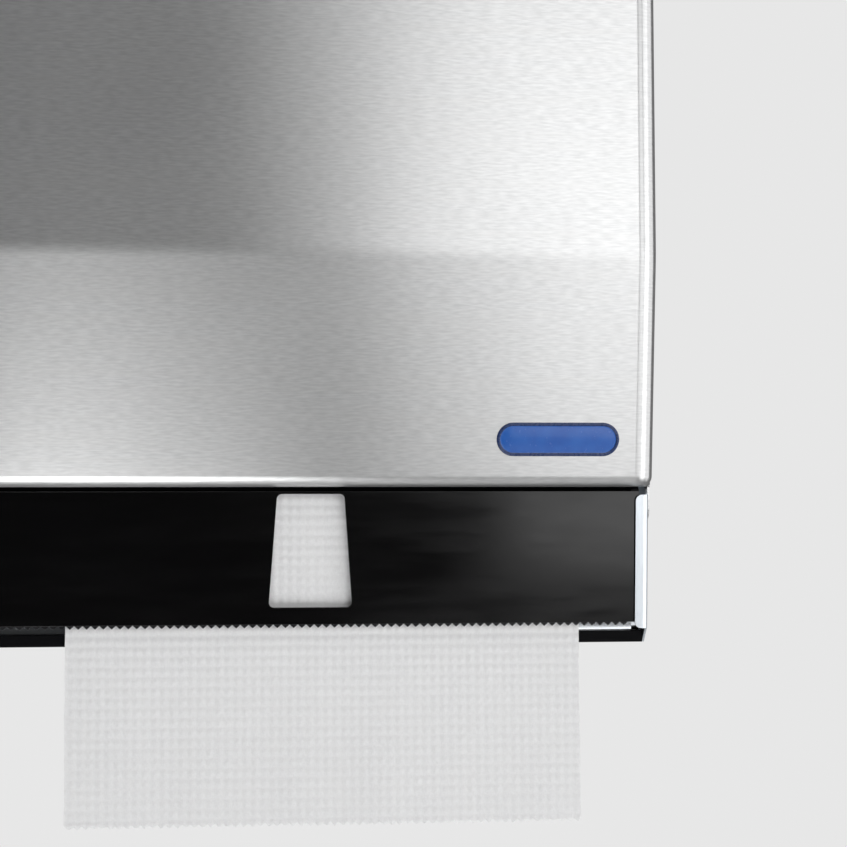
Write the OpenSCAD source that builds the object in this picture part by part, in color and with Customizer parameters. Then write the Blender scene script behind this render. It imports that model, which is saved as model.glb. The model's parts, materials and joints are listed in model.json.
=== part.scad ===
// Wall-hung roll towel dispenser: stainless cabinet, drop-front cover, black nose with a serrated edge.
// X runs to the right, +Y into the wall and +Z up. The wall is the plane Y = 0, the origin is the
// centre of the four wall holes, and the front of the dispenser faces -Y.

/* [Cabinet] */
// Width over the sides of the cover
body_w = 268; // [262:1:280]
// Height of the cabinet without the lock
body_h = 400; // [396:2:420]
// Depth from the wall to the upper front of the cover
body_d = 229; // [227:1:240]
// Thickness of the stainless sheet
sheet_t = 0.8; // [0.7:0.1:0.9]
// Gap between the cover's sides and the side panels
side_gap = 0.3; // [0.2:0.1:0.4]
// Distance between the wall holes from left to right
wall_hole_dx = 180; // [160:5:185]
// Distance between the wall holes from bottom to top
wall_hole_dz = 280; // [260:5:300]
// Diameter of a wall hole
wall_hole_d = 6.4; // [5:0.2:8]

/* [Cover] */
// Height of the crease above the cover's bottom edge
crease_rise = 89.3; // [85:0.1:92]
// How far the lower front leans back from the crease to the bottom edge
lean_back = 12; // [10:0.5:12.5]
// Radius of the front and top edges
edge_r = 9; // [6:0.5:12]
// Distance of the badge's centre from the middle of the cover
badge_x = 95; // [60:1:100]
// Height of the badge's centre above the cover's bottom edge
badge_rise = 18; // [15:1:40]

/* [Nose and tear bar] */
// Height of the black nose below the cover
nose_h = 53.1; // [52:0.1:54]
// Lean of the nose from the vertical, in degrees
nose_lean = 4.6; // [4:0.1:5]
// Width of the finger window at its top
window_top_w = 26; // [20:1:30]
// Width of the finger window at its bottom
window_bottom_w = 32.4; // [28:0.2:36]
// Height of the finger window
window_h = 44; // [38:1:44]
// Distance from one tooth to the next
tooth_pitch = 3.175; // [3:0.005:3.4]
// Height of a tooth
tooth_h = 1.4; // [1:0.1:1.6]
// Number of teeth
tooth_count = 79; // [71:2:79]

/* [Towel] */
// Width of the towel
towel_w = 200; // [190:1:202]
// Distance of the towel's centre line to the right of the middle
towel_x = 6; // [0:1:8]
// Diameter of the full roll
roll_d = 188; // [100:2:188]
// Outer diameter of the cardboard core
core_d = 41; // [40:0.5:42]
// Length of towel that hangs below the teeth
tail_len = 76; // [40:2:100]

/* [Hidden] */
$fn = 48;

// Heights and depths of the cabinet
half_w = body_w / 2;
top_z = body_h / 2;
bottom_z = -body_h / 2;
front_y = -body_d;
tip_z = bottom_z + 6.5;
nose_bottom_z = tip_z + tooth_h + 0.2;
cover_bottom_z = nose_bottom_z + nose_h;
crease_z = cover_bottom_z + crease_rise;
lean_a = atan(lean_back / crease_rise);
cover_rear_y = -3;
plate_t = 1;
panel_out = half_w - sheet_t - side_gap;
panel_in = panel_out - sheet_t;

// Nose: its front face passes through the lower edge and leans forward going up
nose_bottom_y = -204;
nose_t = 2;
nose_top_z = -122;
function nose_y(z) = nose_bottom_y - (z - nose_bottom_z) * tan(nose_lean);
flange_step = 1.6;
flange_in = 127.6;
flange_top_z = cover_bottom_z - 3.2;
flange_bottom_z = nose_bottom_z - 2.5;
bend_r = 2.5;
return_in = 128.4;
return_rear_y = -197;
window_z = cover_bottom_z - 24.6;

// Cover hinge
hinge_y = -200;
hinge_z = cover_bottom_z - 8.2;
pin_r = 2;
ear_r = 4.6;
cover_flange_y = -210;

// Path of the towel, given by its front face
towel_t = 0.5;
roll_r = roll_d / 2;
roll_y = -118;
roll_z = 72;
towel_left = towel_x - towel_w / 2;
towel_right = towel_x + towel_w / 2;
nip_y = -203.5;
nip_z = -112;
web_gap = 1.6;
fit_gap = 0.05;
clear_gap = 0.3;
function web_y(z) = nose_y(z) + nose_t + web_gap;

// Feed roller behind the towel and pinch roller in front of it
feed_r = 15;
feed_drum_r = 13;
feed_y = nip_y + towel_t + clear_gap + feed_r;
feed_shaft_r = 4;
pinch_r = 6.5;
pinch_y = nip_y - clear_gap - pinch_r;
pinch_shaft_r = 2.5;
rod_r = 2.5;
rod_y = -213;
rod_z = -74;
roller_end_gap = 2;

// Roll arms: one on each side of the roll
hub_gap = 0.5;
hub_flange_t = 2.5;
arm_t = 3;
arm_gap = 1;
arm_off = hub_gap + hub_flange_t + arm_gap;
plug_len = 10;
core_t = 1.45;
core_in_r = core_d / 2 - core_t;
hub_bore_r = 4.05;
arm_pivot_y = -14;
arm_pin_r = 2.5;
knuckle_r = 5;
knuckle_h = 18;
ear_z = 18;
bracket_t = 1.2;
arm_tip_r = 14;
wire_r = 0.6;

// Lock in the top of the cover
lock_y = -40;
lock_r = 9;
plug_r = 5.5;
cam_z = 181;
cam_t = 2;
keeper_z = 184.8;
keeper_rivet_z = 168;

// ---------- helpers ----------

// Extrudes an outline drawn in (Y, Z) along X
module along_x(x0, x1) {
    translate([x0, 0, 0])
        rotate([90, 0, 90])
            linear_extrude(height = x1 - x0)
                children();
}

// Extrudes an outline drawn in (X, Z) along Y
module along_y(y0, y1) {
    translate([0, y1, 0])
        rotate([90, 0, 0])
            linear_extrude(height = y1 - y0)
                children();
}

module rod_x(x0, x1, r) {
    translate([x0, 0, 0])
        rotate([0, 90, 0])
            cylinder(h = x1 - x0, r = r);
}

module rod_y(y0, y1, r) {
    translate([0, y1, 0])
        rotate([90, 0, 0])
            cylinder(h = y1 - y0, r = r);
}

// A box from its lowest to its highest corner
module block(low, high) {
    translate(low)
        cube(high - low);
}

module block2d(x0, y0, x1, y1) {
    translate([x0, y0]) square([x1 - x0, y1 - y0]);
}

// A quarter of a ring of sheet, bent to an outer radius of r, in the first quadrant
module bend(r) {
    intersection() {
        difference() {
            circle(r = r);
            circle(r = r - sheet_t);
        }
        square(r + 1);
    }
}

// Makes the left piece from the right one
module flip(side) {
    if (side < 0) mirror([1, 0, 0]) children();
    else children();
}

// A rounded rectangle made from two bars and four discs
module round_rect(x0, y0, x1, y1, r) {
    translate([x0 + r, y0]) square([x1 - x0 - 2 * r, y1 - y0]);
    translate([x0, y0 + r]) square([x1 - x0, y1 - y0 - 2 * r]);
    for (x = [x0 + r, x1 - r], y = [y0 + r, y1 - r])
        translate([x, y]) circle(r = r);
}

// A tube of n_side sides swept along a list of points that never runs parallel to ref
function unit(v) = v / norm(v);
function tangent(path, i) =
    unit(path[min(i + 1, len(path) - 1)] - path[max(i - 1, 0)]);
module sweep(path, r, n_side, ref) {
    n = len(path);
    rings = [for (i = [0 : n - 1])
        let (t = tangent(path, i), u = unit(cross(t, ref)), v = cross(t, u))
        for (k = [0 : n_side - 1])
            path[i] + r * (cos(360 * k / n_side) * u + sin(360 * k / n_side) * v)];
    sides = [for (i = [0 : n - 2], k = [0 : n_side - 1])
        let (a = i * n_side + k, b = i * n_side + (k + 1) % n_side)
        [a, b, b + n_side, a + n_side]];
    caps = [[for (k = [n_side - 1 : -1 : 0]) k], [for (k = [0 : n_side - 1]) (n - 1) * n_side + k]];
    polyhedron(points = rings, faces = concat(sides, caps), convexity = 6);
}

// A torsion spring along the X axis from x0 to x1, with a straight leg at each end
module coil_x(x0, x1, coil_r, turns, leg, steps = 14) {
    count = turns * steps;
    coil = [for (i = [0 : count])
        [x0 + (x1 - x0) * i / count, coil_r * cos(360 * i / steps), coil_r * sin(360 * i / steps)]];
    start = coil[0] - [0, 0, leg];
    finish = coil[count] + [0, 0, leg];
    sweep(concat([start], coil, [finish]), wire_r, 8, [1, 0, 0]);
}

// ---------- cabinet ----------

module back_plate() {
    color("silver")
        difference() {
            block([-panel_out, -plate_t, bottom_z], [panel_out, 0, top_z - 2]);
            for (x = [-1, 1] * wall_hole_dx / 2, z = [-1, 1] * wall_hole_dz / 2)
                translate([x, 0, z]) rod_y(-plate_t - 1, 1, wall_hole_d / 2);
            rivet_places() rod_y(-plate_t - 1, 1, rivet_r);
        }
}

// Outline of a side panel in (Y, Z)
side_outline = [
    [-plate_t, bottom_z],
    [-197, bottom_z],
    [nose_y(flange_bottom_z) - flange_step + bend_r, flange_bottom_z],
    [nose_y(flange_top_z) - flange_step + bend_r, flange_top_z],
    [-203, cover_bottom_z + 1],
    [-212, -118],
    [-213.5, -100],
    [-217, -80],
    [-217, -62],
    [-150, 0],
    [-60, 120],
    [-40, top_z - 10],
    [-plate_t, top_z - 10]
];

// The front flange of a side panel, folded inward and leaning with the nose
module front_flange() {
    length = flange_top_z - flange_bottom_z;
    fold_y = nose_y(flange_bottom_z) - flange_step;
    intersection() {
        translate([0, fold_y, flange_bottom_z])
            rotate([nose_lean, 0, 0])
                translate([0, 0, -1])
                    linear_extrude(height = length + 4) {
                        translate([flange_in, 0]) square([panel_out - bend_r - flange_in, sheet_t]);
                        translate([panel_in, bend_r]) square([sheet_t, 3]);
                        translate([panel_out - bend_r, bend_r]) rotate(-90) bend(bend_r);
                    }
        along_y(-220, -195) {
            round_rect(flange_in, flange_bottom_z, panel_out + 4, flange_top_z, bend_r);
            block2d(panel_in - 1, flange_bottom_z, panel_out + 1, flange_top_z);
        }
    }
}

module side_panel(side) {
    rear_flange_w = 6;
    rear_flange_y = -plate_t - sheet_t;
    color("gainsboro")
        flip(side)
            difference() {
                union() {
                    along_x(panel_in, panel_out) polygon(side_outline);
                    front_flange();
                    block([panel_out - rear_flange_w, rear_flange_y, bottom_z],
                          [panel_out, -plate_t, top_z - 10]);
                }
                translate([0, feed_y, nip_z]) rod_x(panel_in - 1, panel_out + 1, bush_r);
                translate([0, rod_y, rod_z]) rod_x(panel_in - 1, panel_out + 1, rod_r);
                translate([0, hinge_y, hinge_z]) rod_x(panel_in - 1, panel_out + 1, pin_r);
                screw_places(nose_screw_at) rod_x(panel_in - 1, panel_out + 1, screw_r);
                screw_places(chute_screw_at) rod_x(panel_in - 1, panel_out + 1, screw_r);
            }
}

// A folded channel that ties the tops of the side panels together
module tie_bar() {
    front = -58;
    rear = -46;
    low = 150;
    high = 166;
    color("silver")
        difference() {
            block([-panel_in, front, low], [panel_in, rear, high]);
            block([-panel_in - 1, front + plate_t, low + plate_t], [panel_in + 1, rear + 1, high - plate_t]);
        }
}

// ---------- cover ----------

module at_crease(angle) {
    translate([0, front_y, crease_z]) rotate([angle, 0, 0]) children();
}

// Plan of the cover's sheet: the front, its two bent edges and the sides, all moved in by inset
module cover_plan(inset) {
    out_x = half_w - inset;
    out_y = front_y + inset;
    block2d(-out_x + edge_r, out_y, out_x - edge_r, out_y + sheet_t);
    for (side = [-1, 1])
        flip(side) {
            block2d(out_x - sheet_t, out_y + edge_r, out_x, cover_rear_y);
            translate([out_x - edge_r, out_y + edge_r]) rotate(-90) bend(edge_r);
        }
}

// The front and sides above the crease
module cover_upper() {
    intersection() {
        translate([0, 0, cover_bottom_z])
            linear_extrude(height = top_z - edge_r - cover_bottom_z)
                cover_plan(0);
        at_crease(lean_a / 2) block([-half_w - 1, -1, 0], [half_w + 1, body_d + 20, body_h]);
    }
}

// The front and sides below the crease, leaning back, mitred to the ones above with a hair-fine step
crease_step = 0.01;
module cover_lower() {
    intersection() {
        at_crease(lean_a)
            translate([0, -front_y, -crease_rise - 60])
                linear_extrude(height = crease_rise + 120)
                    cover_plan(crease_step);
        at_crease(lean_a / 2) block([-half_w - 1, -20, -body_h], [half_w + 1, body_d + 20, 0]);
        block([-half_w - 1, front_y - 1, cover_bottom_z], [half_w + 1, cover_rear_y, top_z]);
    }
}

// The flange along the bottom of the front, turned inward
module cover_flange() {
    inset = sheet_t / 2;
    at_bottom_y = front_y + lean_back;
    translate([0, 0, cover_bottom_z])
        linear_extrude(height = sheet_t) {
            block2d(-half_w + edge_r, at_bottom_y + inset, half_w - edge_r, cover_flange_y);
            for (x = [-1, 1] * (half_w - edge_r))
                translate([x, at_bottom_y + edge_r])
                    intersection() {
                        circle(r = edge_r - inset);
                        translate([-edge_r, -edge_r]) square([2 * edge_r, cover_flange_y - at_bottom_y]);
                    }
        }
}

// The top with its bent front and side edges and two round corners
module cover_top() {
    low_z = top_z - edge_r;
    start_y = front_y + edge_r;
    flat_half = half_w - edge_r;
    block([-flat_half, start_y, top_z - sheet_t], [flat_half, cover_rear_y, top_z]);
    along_x(-flat_half, flat_half) translate([start_y, low_z]) rotate(90) bend(edge_r);
    for (side = [-1, 1])
        flip(side) {
            along_y(start_y, cover_rear_y) translate([flat_half, low_z]) bend(edge_r);
            translate([flat_half, start_y, low_z])
                rotate([0, 0, -90])
                    rotate_extrude(angle = 90)
                        bend(edge_r);
        }
}

// A rounded ear on the cover's side that turns on the hinge pin
module hinge_ear() {
    along_x(half_w - sheet_t, half_w) {
        translate([hinge_y, hinge_z]) circle(r = ear_r);
        block2d(hinge_y - ear_r, hinge_z, hinge_y + ear_r, cover_bottom_z + 3);
    }
}

module cover() {
    color("gainsboro")
        difference() {
            union() {
                cover_upper();
                cover_lower();
                cover_flange();
                cover_top();
                for (side = [-1, 1]) flip(side) hinge_ear();
            }
            translate([0, hinge_y, hinge_z]) rod_x(-half_w - 1, half_w + 1, pin_r + fit_gap);
            translate([0, lock_y, top_z - 5]) cylinder(h = 10, r = lock_r);
        }
}

// An enamelled plate on the lower front, a bar with round ends
badge_l = 48;
badge_w = 13;
badge_t = 0.7;
module badge() {
    rise = badge_rise / cos(lean_a);
    color("royalblue")
        at_crease(lean_a)
            translate([badge_x, 0, rise - crease_rise / cos(lean_a)])
                along_y(-badge_t, 0)
                    round_rect(-badge_l / 2, -badge_w / 2, badge_l / 2, badge_w / 2, badge_w / 2 - 0.01);
}

// A pin fixed in the side panel from inside, which ends just outside the cover's ear
module hinge_pin(side) {
    collar_t = 1.2;
    collar_r = 3.6;
    color("dimgray")
        flip(side)
            translate([0, hinge_y, hinge_z]) {
                rod_x(panel_in - collar_t, half_w + 0.2, pin_r);
                rod_x(panel_in - collar_t, panel_in, collar_r);
            }
}

// ---------- lock ----------

module lock_body() {
    color("silver")
        translate([0, lock_y, 0])
            difference() {
                union() {
                    translate([0, 0, top_z]) cylinder(h = 2, r = lock_r + 2);
                    translate([0, 0, cam_z + cam_t + 1]) cylinder(h = top_z - cam_z - cam_t, r = lock_r);
                }
                translate([0, 0, cam_z]) cylinder(h = 30, r = plug_r + fit_gap);
            }
}

module lock_nut() {
    nut_h = 4;
    color("silver")
        translate([0, lock_y, top_z - sheet_t - nut_h])
            difference() {
                cylinder(h = nut_h, r = 12.5, $fn = 6);
                translate([0, 0, -1]) cylinder(h = nut_h + 2, r = lock_r);
            }
}

module lock_plug() {
    key_w = 1.2;
    key_l = 6;
    key_depth = 8;
    color("gold")
        translate([0, lock_y, cam_z + cam_t])
            difference() {
                cylinder(h = top_z + 2.2 - cam_z - cam_t, r = plug_r);
                translate([-key_l / 2, -key_w / 2, top_z + 2.2 - cam_z - cam_t - key_depth])
                    cube([key_l, key_w, key_depth + 1]);
            }
}

// The cam points along the wall here, and swings a quarter turn back under the keeper
module lock_cam() {
    cam_reach = 24;
    cam_half = 5;
    color("silver")
        translate([0, lock_y, cam_z])
            difference() {
                linear_extrude(height = cam_t) {
                    circle(r = plug_r + 2);
                    block2d(0, -cam_half, cam_reach - cam_half, cam_half);
                    translate([cam_reach - cam_half, 0]) circle(r = cam_half);
                }
                translate([0, 0, -1]) cylinder(h = cam_t + 2, r = cam_screw_r);
            }
}

cam_screw_r = 2;
module lock_cam_screw() {
    color("dimgray")
        translate([0, lock_y, 0]) {
            translate([0, 0, cam_z - 2]) cylinder(h = 2, r = 4);
            translate([0, 0, cam_z - 1]) cylinder(h = cam_t + 1, r = cam_screw_r);
        }
}

module lock_keeper() {
    keeper_half = 14;
    keeper_reach = 26;
    foot_z = keeper_rivet_z - 8;
    keeper_top_z = keeper_z + bracket_t;
    color("silver")
        difference() {
            union() {
                block([-keeper_half, -plate_t - bracket_t, foot_z], [keeper_half, -plate_t, keeper_top_z]);
                block([-keeper_half, -keeper_reach, keeper_z], [keeper_half, -plate_t, keeper_top_z]);
            }
            rivet_places() rod_y(-plate_t - bracket_t - 1, 0, rivet_r);
        }
}

// ---------- nose, tear bar and chute ----------

screw_r = 1.5;
nose_screw_at = [[-200.2, -162], [-200.2, -184]];
chute_screw_at = [[-187, -162], [-187, -190]];

module screw_places(places) {
    for (place = places)
        translate([0, place[0], place[1]]) children();
}

// Leans an upright plate with the nose, hinged at the nose's lower front edge
module lean_with_nose() {
    translate([0, nose_bottom_y, nose_bottom_z]) rotate([nose_lean, 0, 0]) children();
}

// The finger window: a trapezium with round corners, in the nose's own plane
window_r = 2;
module window_outline() {
    centre = window_z - nose_bottom_z;
    low = centre - window_h / 2;
    high = centre + window_h / 2;
    slope = atan((window_bottom_w - window_top_w) / 2 / window_h);
    low_x = window_bottom_w / 2 - window_r * tan((90 + slope) / 2);
    high_x = window_top_w / 2 - window_r * tan((90 - slope) / 2);
    out = window_r * cos(slope);
    up = window_r * sin(slope);
    polygon([
        [-low_x, low], [low_x, low],
        [low_x + out, low + window_r + up], [high_x + out, high - window_r + up],
        [high_x, high], [-high_x, high],
        [-high_x - out, high - window_r + up], [-low_x - out, low + window_r + up]
    ]);
    for (side = [-1, 1]) {
        translate([side * low_x, low + window_r]) circle(r = window_r);
        translate([side * high_x, high - window_r]) circle(r = window_r);
    }
}

module nose_panel() {
    nose_len = (nose_top_z - nose_bottom_z) / cos(nose_lean);
    panel_half = return_in + 0.8;
    return_low_z = nose_bottom_z + 2;
    return_high_z = -154;
    color("black")
        difference() {
            union() {
                lean_with_nose()
                    difference() {
                        union() {
                            block([-panel_half, 0, 0], [panel_half, nose_t, nose_len]);
                            block([-panel_half, -4, nose_len - nose_t], [panel_half, nose_t, nose_len]);
                        }
                        along_y(-1, nose_t + 1) window_outline();
                    }
                for (side = [-1, 1])
                    flip(side)
                        along_x(return_in, panel_in)
                            polygon([
                                [nose_y(return_low_z) + 0.5, return_low_z],
                                [return_rear_y, return_low_z],
                                [return_rear_y, return_high_z],
                                [nose_y(return_high_z) + 0.5, return_high_z]
                            ]);
            }
            screw_places(nose_screw_at) rod_x(-half_w, half_w, screw_r);
        }
}

// Thin-head screws through a side panel, for the pieces that hang between the panels
module side_screws(places, end_x) {
    head_t = 0.4;
    head_r = 2.6;
    color("silver")
        for (side = [-1, 1])
            flip(side)
                screw_places(places) {
                    rod_x(end_x, panel_out + head_t, screw_r);
                    rod_x(panel_out, panel_out + head_t, head_r);
                }
}

module nose_screws() {
    side_screws(nose_screw_at, return_in + 0.5);
}

module chute_screws() {
    side_screws(chute_screw_at, return_in - 2);
}

// A toothed strip behind the nose's lower edge
module tear_bar() {
    bar_half = tooth_count * tooth_pitch / 2;
    bar_h = 5;
    root_z = tip_z + tooth_h - nose_bottom_z;
    teeth = [for (i = [0 : tooth_count - 1])
        for (step = [0, 0.5])
            [-bar_half + (i + step) * tooth_pitch, root_z - (step == 0 ? 0 : tooth_h)]];
    top_edge = [[bar_half, root_z], [bar_half, root_z + bar_h], [-bar_half, root_z + bar_h]];
    color("dimgray")
        lean_with_nose()
            along_y(nose_t, nose_t + 1)
                polygon(concat(teeth, top_edge));
}

// The rear wall of the towel's exit: a steel plate that stands in the lip, with a block at each end
chute_t = 2;
chute_top = [-202.9, -122];
chute_foot = [-195.6, -191.5];
chute_low_z = bottom_z + 2;
module chute_plate() {
    tab_rear_y = -182;
    tab_high_z = -152;
    color("silver")
        difference() {
            union() {
                along_x(-return_in + 0.3, return_in - 0.3)
                    polygon([
                        chute_top, chute_foot, [chute_foot[0], chute_low_z],
                        [chute_foot[0] + chute_t, chute_low_z], chute_foot + [chute_t, 0],
                        chute_top + [chute_t, 0]
                    ]);
                for (side = [-1, 1])
                    flip(side)
                        along_x(return_in - 0.4, panel_in)
                            polygon([
                                [-196.5, tab_high_z], chute_foot + [1, 0],
                                [chute_foot[0] + chute_t, lip_top_z - 0.4],
                                [tab_rear_y, bottom_z + 6], [tab_rear_y, tab_high_z]
                            ]);
            }
            screw_places(chute_screw_at) rod_x(-half_w, half_w, screw_r);
        }
}

// A black moulding below the teeth that grips the plate's lower edge
lip_y = -199.2;
lip_top_z = bottom_z + 4.6;
module chute_lip() {
    rear_y = chute_foot[0] + 4;
    color("black")
        along_x(-panel_in + 0.2, panel_in - 0.2)
            polygon([
                [lip_y, lip_top_z], [lip_y + 0.3, bottom_z], [rear_y, bottom_z],
                [rear_y, chute_low_z + 2], [chute_foot[0] + chute_t, chute_low_z + 2],
                [chute_foot[0] + chute_t, chute_low_z], [chute_foot[0], chute_low_z],
                [chute_foot[0], lip_top_z]
            ]);
}

// ---------- roll arms and hubs ----------

// Positions of the inner face of each arm, outside the ends of the roll
function arm_x(side) = towel_x * side + towel_w / 2 + arm_off;
arm_mid = arm_t / 2;

rivet_r = 1.6;
module rivet_places() {
    for (side = [-1, 1], dx = [-1, 1] * 9)
        translate([side * (arm_x(side) + arm_mid) + dx, 0, roll_z]) children();
    for (x = [-1, 1] * 7)
        translate([x, 0, keeper_rivet_z]) children();
}

module bracket_rivets() {
    color("silver")
        rivet_places() {
            rod_y(-plate_t - bracket_t - 1.4, 0, rivet_r);
            rod_y(-plate_t - bracket_t - 1.4, -plate_t - bracket_t, 3.2);
        }
}

// A U-shaped bracket on the back plate whose two ears hold the arm's pin
module arm_bracket(side) {
    ear_half = 6;
    base_half = 13;
    color("silver")
        difference() {
            flip(side)
                translate([arm_x(side) + arm_mid, 0, roll_z])
                    difference() {
                        union() {
                            block([-base_half, -plate_t - bracket_t, -ear_z - bracket_t],
                                  [base_half, -plate_t, ear_z + bracket_t]);
                            for (z = [-ear_z - bracket_t, ear_z])
                                translate([0, 0, z])
                                    linear_extrude(height = bracket_t) {
                                        block2d(-ear_half, arm_pivot_y, ear_half, -plate_t);
                                        translate([0, arm_pivot_y]) circle(r = ear_half);
                                    }
                        }
                        translate([0, arm_pivot_y, -ear_z - 5]) cylinder(h = 2 * ear_z + 10, r = arm_pin_r);
                    }
            rivet_places() rod_y(-plate_t - bracket_t - 1, 0, rivet_r);
        }
}

module arm_pin(side) {
    end_z = ear_z + bracket_t;
    color("dimgray")
        flip(side)
            translate([arm_x(side) + arm_mid, arm_pivot_y, roll_z]) {
                translate([0, 0, -end_z - 1]) cylinder(h = 2 * end_z + 2, r = arm_pin_r);
                translate([0, 0, end_z]) cylinder(h = 1, r = 4);
                translate([0, 0, -end_z - 1]) cylinder(h = 1, r = 4);
            }
}

module roll_arm(side) {
    web_half = 8;
    rib_half = 2;
    rib_rear_y = -30;
    rib_front_y = roll_y + arm_tip_r - 4;
    color("whitesmoke")
        flip(side)
            translate([arm_x(side), 0, roll_z])
                difference() {
                    union() {
                        along_x(0, arm_t) {
                            polygon([
                                [arm_pivot_y - knuckle_r, -web_half], [arm_pivot_y - knuckle_r, web_half],
                                [roll_y, arm_tip_r], [roll_y, -arm_tip_r]
                            ]);
                            translate([roll_y, 0]) circle(r = arm_tip_r);
                        }
                        translate([arm_mid, arm_pivot_y, -knuckle_h / 2])
                            cylinder(h = knuckle_h, r = knuckle_r);
                        block([0, arm_pivot_y - knuckle_r - 2, -web_half], [arm_t, arm_pivot_y, web_half]);
                        along_x(arm_t, arm_t + 2) block2d(rib_front_y, -rib_half, rib_rear_y, rib_half);
                    }
                    translate([arm_mid, arm_pivot_y, -knuckle_h])
                        cylinder(h = 2 * knuckle_h, r = arm_pin_r + fit_gap);
                    translate([0, roll_y, 0]) rod_x(-1, arm_t + 1, hub_bore_r - fit_gap);
                }
}

// A torsion spring round the arm's pin, above the knuckle
module arm_spring(side) {
    spring_h = 7;
    color("silver")
        flip(side)
            translate([arm_x(side) + arm_mid, arm_pivot_y, roll_z + knuckle_h / 2 + 1.2])
                rotate([0, -90, 0])
                    coil_x(0, spring_h - 1, 3.9, 4, 3);
}

module hub_pin(side) {
    color("silver")
        flip(side)
            translate([arm_x(side), roll_y, roll_z]) {
                rod_x(-arm_gap - hub_flange_t - 7, arm_t + 1.5, hub_bore_r - fit_gap);
                rod_x(arm_t, arm_t + 1.5, 6.5);
            }
}

// A flanged hub whose tapered plug sits in the end of the core
module roll_hub(side) {
    hub_flange_r = 27;
    plug_base_r = core_in_r - 1;
    plug_tip_r = core_in_r - 3.4;
    plug_reach = hub_flange_t + hub_gap + plug_len;
    color("whitesmoke")
        flip(side)
            translate([arm_x(side) - arm_gap, roll_y, roll_z])
                rotate([0, -90, 0])
                    difference() {
                        rotate_extrude($fn = 64)
                            polygon([
                                [0, 0], [hub_flange_r, 0], [hub_flange_r, hub_flange_t],
                                [plug_base_r, hub_flange_t], [plug_base_r, hub_flange_t + hub_gap],
                                [plug_tip_r, plug_reach], [0, plug_reach]
                            ]);
                        translate([0, 0, -1]) cylinder(h = plug_reach - 2, r = hub_bore_r);
                    }
}

// ---------- towel ----------

module towel_roll() {
    color("white")
        translate([towel_x - towel_w / 2, roll_y, roll_z])
            rotate([0, 90, 0])
                difference() {
                    cylinder(h = towel_w, r = roll_r, $fn = 96);
                    translate([0, 0, -1]) cylinder(h = towel_w + 2, r = core_d / 2);
                }
}

module roll_core() {
    color("burlywood")
        translate([towel_x - towel_w / 2, roll_y, roll_z])
            rotate([0, 90, 0])
                difference() {
                    cylinder(h = towel_w, r = core_d / 2);
                    translate([0, 0, -1]) cylinder(h = towel_w + 2, r = core_in_r);
                }
}

// The towel from the roll, through the nip and down behind the nose
web_start_z = roll_z - 6;
web_path = [
    [roll_y - roll_r - towel_t - clear_gap, web_start_z],
    [nip_y, nip_z + 3],
    [nip_y, nip_z - 3],
    [web_y(-142), -142],
    [web_y(tip_z), tip_z],
    [web_y(tip_z), tip_z - tail_len]
];
module towel_sheet() {
    back = [for (i = [len(web_path) - 1 : -1 : 0]) web_path[i] + [towel_t, 0]];
    color("white")
        along_x(towel_left, towel_right)
            polygon(concat(web_path, back));
}

// ---------- rollers ----------

bush_r = 6;
drum_half = towel_w / 2 - roller_end_gap;

module feed_shaft() {
    color("silver")
        translate([0, feed_y, nip_z]) rod_x(-panel_in, panel_in, feed_shaft_r);
}

module feed_drum() {
    color("dimgray")
        translate([0, feed_y, nip_z])
            difference() {
                rod_x(towel_x - drum_half, towel_x + drum_half, feed_drum_r);
                rod_x(-half_w, half_w, feed_shaft_r);
                for (i = [-2 : 2])
                    translate([towel_x + i * tyre_step, 0, 0])
                        difference() {
                            rod_x(-tyre_w / 2, tyre_w / 2, feed_drum_r + 1);
                            rod_x(-tyre_w / 2 - 1, tyre_w / 2 + 1, feed_drum_r - 1);
                        }
            }
}

tyre_w = 22;
tyre_step = 40;
module feed_tyres() {
    color("darkslategray")
        translate([towel_x, feed_y, nip_z])
            for (i = [-2 : 2])
                translate([i * tyre_step, 0, 0])
                    difference() {
                        rod_x(-tyre_w / 2, tyre_w / 2, feed_r);
                        rod_x(-tyre_w / 2 - 1, tyre_w / 2 + 1, feed_drum_r - 1);
                    }
}

module feed_bushes() {
    color("ivory")
        for (side = [-1, 1])
            flip(side)
                translate([0, feed_y, nip_z])
                    difference() {
                        union() {
                            rod_x(panel_in - 3, panel_out, bush_r);
                            rod_x(panel_in - 1.5, panel_in, bush_r + 3);
                        }
                        rod_x(panel_in - 4, panel_out + 1, feed_shaft_r + fit_gap);
                    }
}

// A ring clip that locates a shaft, cut open at the top
module ring_clip(x, inner_r) {
    difference() {
        rod_x(x - 0.5, x + 0.5, inner_r + 2.5);
        rod_x(x - 1, x + 1, inner_r);
        block([x - 1, -inner_r * 0.7, 0], [x + 1, inner_r * 0.7, inner_r + 5]);
    }
}

module shaft_clips() {
    color("silver")
        translate([0, feed_y, nip_z])
            for (side = [-1, 1])
                flip(side)
                    ring_clip(panel_in - 4.2, feed_shaft_r);
}

module pinch_rod() {
    color("silver")
        translate([0, rod_y, rod_z]) rod_x(-panel_out, panel_out, rod_r);
}

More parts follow.
